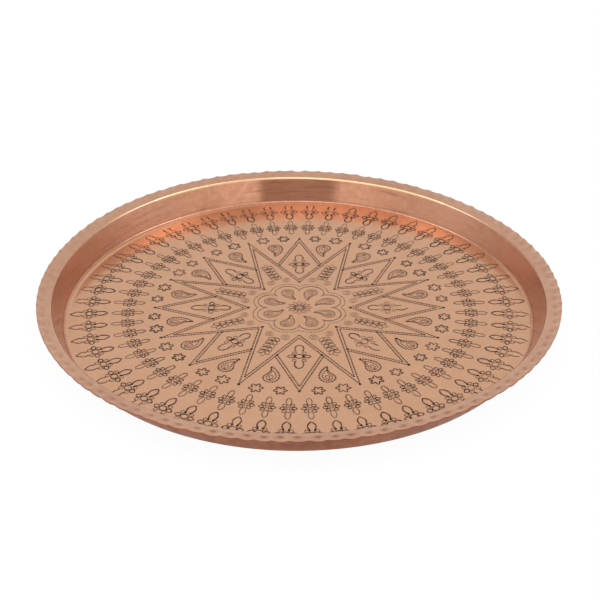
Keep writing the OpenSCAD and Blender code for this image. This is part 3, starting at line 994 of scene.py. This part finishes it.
# %% Kite flowers, sprigs and ringlets
kite_flower_r = 60.0
worn_kites = (2, 3)
worn_kite_share = 0.5
worn_kite_tone = 0.55
sprig_foot_r = 40.4
ringlet_r = 38.4
ringlet_turn = 8.4
ringlet_w = 0.4
ringlet_tone = 0.6
flower_strokes, sprig_strokes, ringlet_strokes = [], [], []
ringlet = [(line, ringlet_w, ringlet_tone, True) for line in (ring(0, 0, 2.65), ring(0, 0, 1.15, steps=14))]
for i in range(lobes):
    flower = kite_flower(worn_kite_share, worn_kite_tone) if i in worn_kites else kite_flower(1.0, 1.0)
    flower_strokes += carried(flower, kite_flower_r, i * sector)
    sprig_turn = (i + 0.5) * sector
    sprig_strokes += carried(sprig(), sprig_foot_r, sprig_turn)
    for side in (-1, 1):
        ringlet_strokes += carried(ringlet, ringlet_r, sprig_turn + side * ringlet_turn)
bands.append(lay_band("kite_flower_line_work", "kite_flower_lines", flower_strokes))
bands.append(lay_band("sprig_line_work", "sprig_lines", sprig_strokes))
bands.append(lay_band("ringlet_line_work", "ringlet_lines", ringlet_strokes))

# %% [markdown]
# ## The rosette
#
# The rosette is an eight-lobed outline with a row of fine dots outside it, a small boteh in each lobe with
# its tail leaning clockwise, and a flower of twelve petals in the very middle, with short strokes between
# them. Each lobe is one arc, worked out from how far its crown and its cusps lie from the middle.

# %% Rosette
rosette_r = 30.0
rosette_cusp_r = 23.2
dot_crown_r = 32.9
dot_cusp_r = 28.4
dot_pitch = 1.9
dot_r = 0.46
outline_w = 0.56
# Ranges of the blackness of outline and dots and of the dots' size, as shares
outline_black, dot_black = (0.7, 0.95), (0.8, 1.0)
dot_swell = (0.8, 1.15)
# A lobe's line runs on inwards past its cusps to this share of their radius
barb_share = 0.93
rosette_boteh_r = 18.3
rosette_boteh_turn = 3.5
petal_n = 12


def lobe_line(crown, cusp, steps):
    """One lobe's arc about its own axis, from cusp to cusp."""
    lobe_r = (crown**2 - cusp**2) / (2 * (crown - cusp * math.cos(math.radians(half_sector))))
    end = polar(cusp, half_sector) - (0, lobe_r)
    span = math.atan2(end[0], end[1])
    a = np.linspace(-span, span, steps)
    return np.c_[(crown - lobe_r) * np.sin(a), lobe_r + (crown - lobe_r) * np.cos(a)]


outline_strokes, dot_strokes, small_botehs, flower_strokes = [], [], [], []
lobe = lobe_line(rosette_r, rosette_cusp_r, 25)
barb = barb_share * lobe[[0, -1]]
lobe = np.concatenate([barb[:1], lobe, barb[1:]])
for i in range(lobes):
    turn = (i + 0.5) * sector
    outline_strokes.append((turned(lobe, turn), outline_w, hand.uniform(*outline_black), False))
    for x, y in turned(spaced(lobe_line(dot_crown_r, dot_cusp_r, 40), dot_pitch)[0], turn):
        dot_strokes.append(dot(x, y, dot_r * hand.uniform(*dot_swell), hand.uniform(*dot_black)))
    small_botehs += carried(punched_boteh(0.84, 0.65), rosette_boteh_r, turn + rosette_boteh_turn)
for i in range(petal_n):
    petal = [(leaf(2.6, 8.3, 1.25, 1.25), 0.36, 0.75, True)]
    gap = [(np.array([(0, 2.2), (0, 3.4), (0, 4.8)]), np.array([0.55, 0.5, 0.2]), 0.95, False)]
    flower_strokes += carried(petal, 0, i * 360 / petal_n, loose=0.5)
    flower_strokes += carried(gap, 0, (i + 0.5) * 360 / petal_n, loose=0.5)
flower_strokes.append((ring(0, 0, 1.5, steps=16), 0.42, 0.7, True))
bands.append(lay_band("rosette_outline_work", "rosette_outline", outline_strokes))
bands.append(lay_band("rosette_dot_work", "rosette_dots", dot_strokes))
bands.append(lay_band("rosette_boteh_work", "rosette_boteh_lines", small_botehs))
bands.append(lay_band("centre_flower_work", "centre_flower_lines", flower_strokes))

# %% [markdown]
# ## Black of the line work
#
# The black is a thin baked-on film on the copper. It looks like dull charcoal brown, never pure black, and
# where cleaning has thinned it the bare copper shows through, so it turns from a matt film into metal
# there. Fading it with transparency would show the ribbon's sides, so colour and metal are mixed instead.
# Each stroke carries its own tone as an attribute, and a fine noise wears it further.

# %% Black film
film_dark = "#2C221D"
film_worn = "#A97C62"
wear_mm = 2.2
# Factors of a stroke's tone where the noise wears it least and most
least_wear, most_wear = 1.1, 0.75
film_material, tree = new_material("black_baked_film")
place = add_node(tree, "ShaderNodeTexCoord").outputs["Object"]
wear = add_node(tree, "ShaderNodeTexNoise", {"Vector": place, "Scale": per_mm(wear_mm), "Detail": 3.0})
worn_here = add_node(tree, "ShaderNodeMapRange", {
    "Value": wear.outputs["Fac"], "From Min": 0.3, "From Max": 0.7,
    "To Min": least_wear, "To Max": most_wear}).outputs[0]
tone = add_node(tree, "ShaderNodeAttribute", attribute_name="tone").outputs["Fac"]
cover = add_node(tree, "ShaderNodeMath", {0: tone, 1: worn_here}, operation="MULTIPLY",
                 use_clamp=True).outputs[0]
film_colour = add_node(tree, "ShaderNodeMix", {
    0: cover, MIX_A: hex_colour(film_worn), MIX_B: hex_colour(film_dark)},
    data_type="RGBA").outputs[MIX_RESULT]
film_shine = add_node(tree, "ShaderNodeMapRange", {"Value": cover, "To Min": 0.4, "To Max": 0.6}).outputs[0]
bare_copper = add_node(tree, "ShaderNodeMapRange", {"Value": cover, "To Min": 1.0, "To Max": 0.0}).outputs[0]
film_surface = add_node(tree, "ShaderNodeBsdfPrincipled", {
    "Base Color": film_colour, "Roughness": film_shine, "Metallic": bare_copper, "Specular IOR Level": 0.1})
add_node(tree, "ShaderNodeOutputMaterial", {"Surface": film_surface.outputs[0]})
for band in bands:
    band.data.materials.append(film_material)
print(f"{len(bands)} bands share {film_material.name}")

# %% [markdown]
# ## Floor and backdrop
#
# The tray was photographed on white. A white floor in soft light gives that, and still takes the tray's
# shadow. The camera and the copper see the floor lifted most of the way to plain white, so that it meets
# the backdrop without a line. It lies a hair below the tray and is clear from below, so that the underside
# can be looked at.

# %% White floor
floor_half = 6.0
floor_sink = -0.05 * MM
floor_lift = 0.96
corners = ((-1, -1), (1, -1), (1, 1), (-1, 1))
floor_mesh = bpy.data.meshes.new("white_floor")
floor_mesh.from_pydata([(x * floor_half, y * floor_half, floor_sink) for x, y in corners], [], [(0, 1, 2, 3)])
floor = bpy.data.objects.new("white_floor", floor_mesh)
bpy.context.scene.collection.objects.link(floor)
floor_material, tree = new_material("white_paper")
paper = add_node(tree, "ShaderNodeBsdfDiffuse", {"Color": hex_colour("#F4F3F2")}).outputs[0]
lifted = add_node(tree, "ShaderNodeEmission", {"Color": (1, 1, 1, 1), "Strength": 1.0}).outputs[0]
path = add_node(tree, "ShaderNodeLightPath").outputs
mirrored = add_node(tree, "ShaderNodeMath", {0: path["Is Glossy Ray"], 1: path["Is Transmission Ray"]},
                    operation="MAXIMUM").outputs[0]
seen = add_node(tree, "ShaderNodeMath", {0: path["Is Camera Ray"], 1: mirrored},
                operation="MAXIMUM").outputs[0]
lift = add_node(tree, "ShaderNodeMath", {0: seen, 1: floor_lift}, operation="MULTIPLY").outputs[0]
white = add_node(tree, "ShaderNodeMixShader", {0: lift, 1: paper, 2: lifted}).outputs[0]
from_below = add_node(tree, "ShaderNodeNewGeometry").outputs["Backfacing"]
clear = add_node(tree, "ShaderNodeBsdfTransparent").outputs[0]
one_sided = add_node(tree, "ShaderNodeMixShader", {0: from_below, 1: white, 2: clear}).outputs[0]
add_node(tree, "ShaderNodeOutputMaterial", {"Surface": one_sided})
floor_mesh.materials.append(floor_material)
print(f"white floor, {2 * floor_half} m wide, lifted {floor_lift} of the way to white")

# %% [markdown]
# ## Studio light
#
# Copper shows what surrounds it more than what lights it. The room's pale walls differ a little by bearing,
# and the dark doorway behind the camera gives the brown band in the tray's far wall. Overhead is a window,
# brightest at its two sides, in a dimmer ceiling: it makes the far floor glow and draws the bright line
# along the lip. Mirror cards and lamps could be set up for all this, but they would show in other views, so
# the room is the world's colour by direction, and one large soft lamp adds a shadow.

# %% Room by direction
# Grey levels or colours of the walls, by degrees from the wall behind the camera, positive towards +X
doorway = (0.29, 0.2, 0.175)
room = ((-180, 0.95), (-130, 0.82), (-100, 0.72), (-75, 0.8), (-50, 0.92), (-30, 1.08), (-19.2, 1.1),
        (-17.2, doorway), (18.6, doorway), (20.4, 1.2), (37, 1.2), (40, 0.98), (55, 0.96), (80, 0.9),
        (105, 0.82), (135, 0.85), (180, 0.95))
# The X, Y or Z of a direction at which one part of the room fades into the next
ceiling_from, ceiling_to = 0.36, 0.48
dim_from, dim_to = 0.8, 0.93
window_low, window_high = 0.5, 0.65
window_far, window_near = 0.35, 0.05
pane_dim, pane_bright = -0.12, 0.05
glow_from, glow_to = 0.2, 0.42
backdrop_from, backdrop_to = 0.55, 0.75
plain_white, dim_ceiling = (1, 1, 1, 1), (0.45, 0.45, 0.45, 1)
dim_level, pane_level, left_level, right_level = 1.35, 2.1, 2.2, 2.9
world = bpy.data.worlds.new("white_room")
bpy.context.scene.world = world
world.use_nodes = True
tree = world.node_tree
tree.nodes.clear()
aim = add_node(tree, "ShaderNodeTexCoord").outputs["Generated"]
aim_parts = add_node(tree, "ShaderNodeSeparateXYZ", {0: aim}).outputs
toward_camera = add_node(tree, "ShaderNodeMath", {0: aim_parts["Y"], 1: -1.0},
                         operation="MULTIPLY").outputs[0]
bearing = add_node(tree, "ShaderNodeMath", {0: aim_parts["X"], 1: toward_camera},
                   operation="ARCTAN2").outputs[0]
round_room = add_node(tree, "ShaderNodeMapRange", {
    "Value": bearing, "From Min": -math.pi, "From Max": math.pi}).outputs[0]
walls = add_node(tree, "ShaderNodeValToRGB", {0: round_room})
ramp = walls.color_ramp
for i, (degrees, level) in enumerate(room):
    stop = ramp.elements[i] if i < 2 else ramp.elements.new(1.0)
    stop.position = degrees / 360 + 0.5
    stop.color = (*level, 1) if level is doorway else (level, level, level, 1)
above = add_node(tree, "ShaderNodeMapRange", {
    "Value": aim_parts["Z"], "From Min": ceiling_from, "From Max": ceiling_to}).outputs[0]
upper = add_node(tree, "ShaderNodeMix", {0: above, MIX_A: walls.outputs[0], MIX_B: plain_white},
                 data_type="RGBA").outputs[MIX_RESULT]
overhead = add_node(tree, "ShaderNodeMapRange", {
    "Value": aim_parts["Z"], "From Min": dim_from, "From Max": dim_to}).outputs[0]
dimmed = add_node(tree, "ShaderNodeMix", {0: overhead, MIX_A: upper, MIX_B: dim_ceiling},
                  data_type="RGBA").outputs[MIX_RESULT]
print(f"the room has {len(room)} wall levels, a ceiling and a doorway")

# %% Overhead window
high = add_node(tree, "ShaderNodeMapRange", {
    "Value": aim_parts["Z"], "From Min": window_low, "From Max": window_high}).outputs[0]
front = add_node(tree, "ShaderNodeMapRange", {
    "Value": aim_parts["Y"], "From Min": window_far, "From Max": window_near}).outputs[0]
window = add_node(tree, "ShaderNodeMath", {0: high, 1: front}, operation="MULTIPLY").outputs[0]
left_glow = add_node(tree, "ShaderNodeMapRange", {
    "Value": aim_parts["X"], "From Min": -glow_from, "From Max": -glow_to, "To Max": left_level}).outputs[0]
right_glow = add_node(tree, "ShaderNodeMapRange", {
    "Value": aim_parts["X"], "From Min": glow_from, "From Max": glow_to, "To Max": right_level}).outputs[0]
side_glow = add_node(tree, "ShaderNodeMath", {0: left_glow, 1: right_glow}, operation="ADD").outputs[0]
bright_pane = add_node(tree, "ShaderNodeMath", {0: side_glow, 1: pane_level}, operation="ADD").outputs[0]
pane = add_node(tree, "ShaderNodeMapRange", {
    "Value": aim_parts["Y"], "From Min": pane_dim, "From Max": pane_bright,
    "To Min": dim_level, "To Max": bright_pane}).outputs[0]
room_colour = add_node(tree, "ShaderNodeMix", {0: window, MIX_A: dimmed, MIX_B: pane},
                       data_type="RGBA").outputs[MIX_RESULT]
print("window levels from", dim_level, "to", pane_level + right_level)

# %% White backdrop and lamp
# The camera sees plain white all round, and the copper sees it behind the tray
path = add_node(tree, "ShaderNodeLightPath").outputs
mirrored = add_node(tree, "ShaderNodeMath", {0: path["Is Glossy Ray"], 1: path["Is Transmission Ray"]},
                    operation="MAXIMUM").outputs[0]
behind = add_node(tree, "ShaderNodeMapRange", {
    "Value": aim_parts["Y"], "From Min": backdrop_from, "From Max": backdrop_to}).outputs[0]
in_metal = add_node(tree, "ShaderNodeMath", {0: mirrored, 1: behind}, operation="MULTIPLY").outputs[0]
seen = add_node(tree, "ShaderNodeMath", {0: path["Is Camera Ray"], 1: in_metal},
                operation="MAXIMUM").outputs[0]
shown = add_node(tree, "ShaderNodeMix", {0: seen, MIX_A: room_colour, MIX_B: plain_white},
                 data_type="RGBA").outputs[MIX_RESULT]
backdrop = add_node(tree, "ShaderNodeBackground", {"Color": shown, "Strength": 1.0}).outputs[0]
add_node(tree, "ShaderNodeOutputWorld", {"Surface": backdrop})

lamp_data = bpy.data.lights.new("overhead_softbox", "AREA")
lamp_data.shape = "RECTANGLE"
lamp_data.size, lamp_data.size_y = 0.9, 0.6
lamp_data.energy = 2.2
lamp = bpy.data.objects.new("overhead_softbox", lamp_data)
lamp.location = (-0.2, -0.4, 1.25)
lamp.rotation_euler = (math.radians(18), math.radians(-9), 0)
bpy.context.scene.collection.objects.link(lamp)
print(f"softbox {lamp_data.size} by {lamp_data.size_y} m, {lamp_data.energy} W")

# %% [markdown]
# ## Camera
#
# The ellipses of the rim and of the floor in the photograph give the camera's height and distance: it looks
# down at the middle of the floor by about 31.5 degrees, from 0.86 m, through a 76 mm lens. A small shift
# puts the middle of the floor at the pixel where the photograph has it.

# %% Camera
image_px = 600
centre_px = (299.4, 307.6)
look_down = math.radians(31.53)
camera_distance = 0.8616
camera_data = bpy.data.cameras.new("camera")
camera_data.sensor_width = 36.0
camera_data.lens = 75.69
camera_data.shift_x = (image_px / 2 - centre_px[0]) / image_px
camera_data.shift_y = (centre_px[1] - image_px / 2) / image_px
camera = bpy.data.objects.new("camera", camera_data)
camera_back, camera_up = camera_distance * math.cos(look_down), camera_distance * math.sin(look_down)
camera.location = (0, -camera_back, floor_z * MM + camera_up)
camera.rotation_euler = (math.pi / 2 - look_down, 0, 0)
bpy.context.scene.collection.objects.link(camera)
bpy.context.scene.camera = camera
bpy.context.scene.view_settings.view_transform = "Standard"
print("camera at", [round(c, 3) for c in camera.location])
